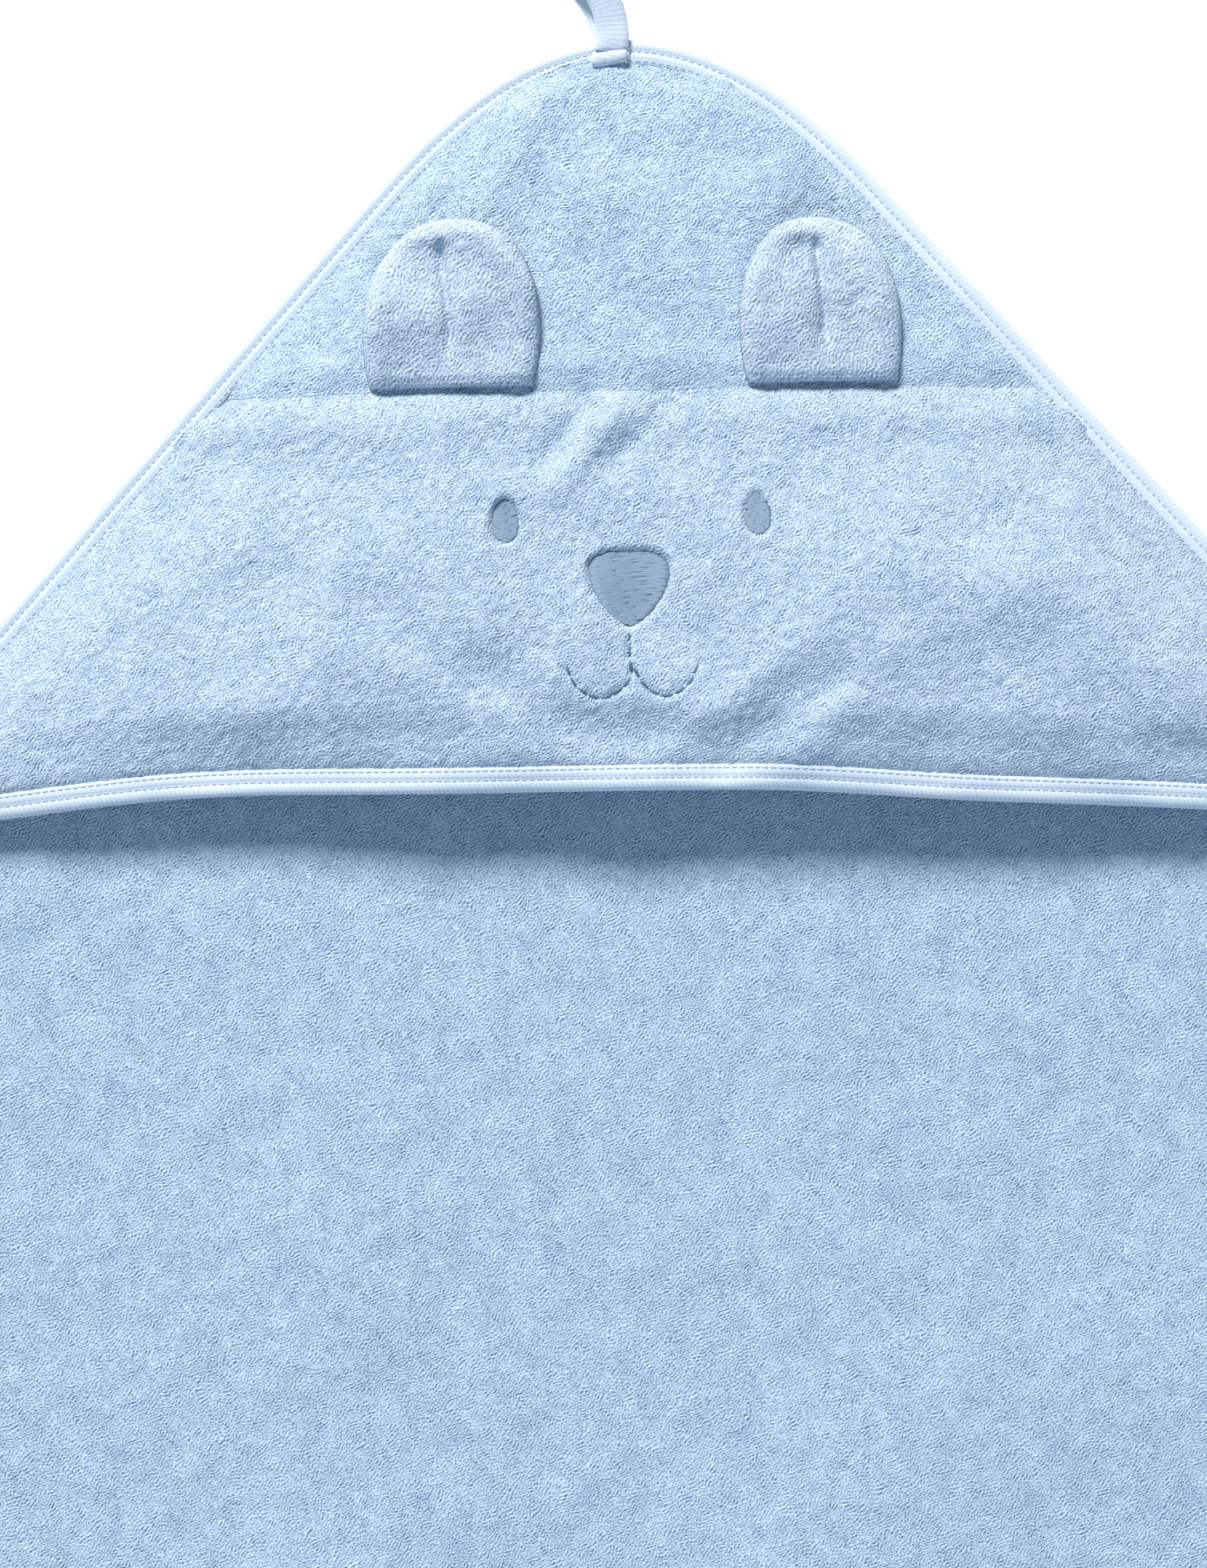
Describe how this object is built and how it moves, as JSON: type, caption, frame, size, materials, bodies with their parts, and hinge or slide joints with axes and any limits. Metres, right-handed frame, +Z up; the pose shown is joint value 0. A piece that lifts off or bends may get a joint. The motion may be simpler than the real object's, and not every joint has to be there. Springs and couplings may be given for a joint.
{
  "type": "hooded baby towel",
  "caption": "Square terry baby towel laid flat on its diagonal, with a bound corner hood that has an embroidered animal face, ears and a hanging loop.",
  "frame": {"origin": "bottom centre of the box round the flat-laid towel with its hanging loop, on the surface it lies on", "axes": "+Y along the diagonal towards the hooded corner and its loop, +X to the right seen from above, +Z up out of the hood side"},
  "size_m": [0.9224, 1.0849, 0.0234],
  "materials": {
    "terry": "looped pile cotton terry, matt",
    "rib_knit": "fine rib-knit cotton, matt",
    "sewing_thread": "spun polyester thread",
    "embroidery_thread": "rayon embroidery thread, soft sheen"
  },
  "bodies": {
    "towel": {"body_panel": "terry", "edge_binding": "rib_knit", "edge_topstitch_outer": "sewing_thread", "edge_topstitch_inner": "sewing_thread", "hood_upper_panel": "terry", "hood_seam_thread": "sewing_thread", "loop_sewn_end": "rib_knit", "loop_stitching": "sewing_thread"},
    "hood_face": {"hood_face_panel": "terry", "brim_binding": "rib_knit", "brim_topstitch_outer": "sewing_thread", "brim_topstitch_inner": "sewing_thread", "left_eye_embroidery": "embroidery_thread", "right_eye_embroidery": "embroidery_thread", "nose_embroidery": "embroidery_thread", "philtrum_stitches": "embroidery_thread", "mouth_left_stitches": "embroidery_thread", "mouth_right_stitches": "embroidery_thread"},
    "left_ear": {"left_ear_front": "terry", "left_ear_back": "terry"},
    "right_ear": {"right_ear_front": "terry", "right_ear_back": "terry"},
    "hanging_loop": {"hanging_loop": "rib_knit"}
  },
  "joints": [
    {"name": "hood_face_lift", "type": "hinge", "parent": "towel", "child": "hood_face", "pos_m": [0, 0.36354, 0.01472], "axis": [-1, 0, 0], "range_deg": [0, 35]},
    {"name": "left_ear_fold", "type": "hinge", "parent": "towel", "child": "left_ear", "pos_m": [-0.0625, 0.36414, 0.02026], "axis": [0.9986, 0.0036, 0.0533], "range_deg": [0, 130]},
    {"name": "right_ear_fold", "type": "hinge", "parent": "towel", "child": "right_ear", "pos_m": [0.0625, 0.36414, 0.02026], "axis": [0.9986, -0.0036, -0.0533], "range_deg": [0, 130]},
    {"name": "loop_flip", "type": "hinge", "parent": "towel", "child": "hanging_loop", "pos_m": [-0.004, 0.48426, 0.0089], "axis": [0.9744, 0.225, 0], "range_deg": [0, 110]}
  ]
}
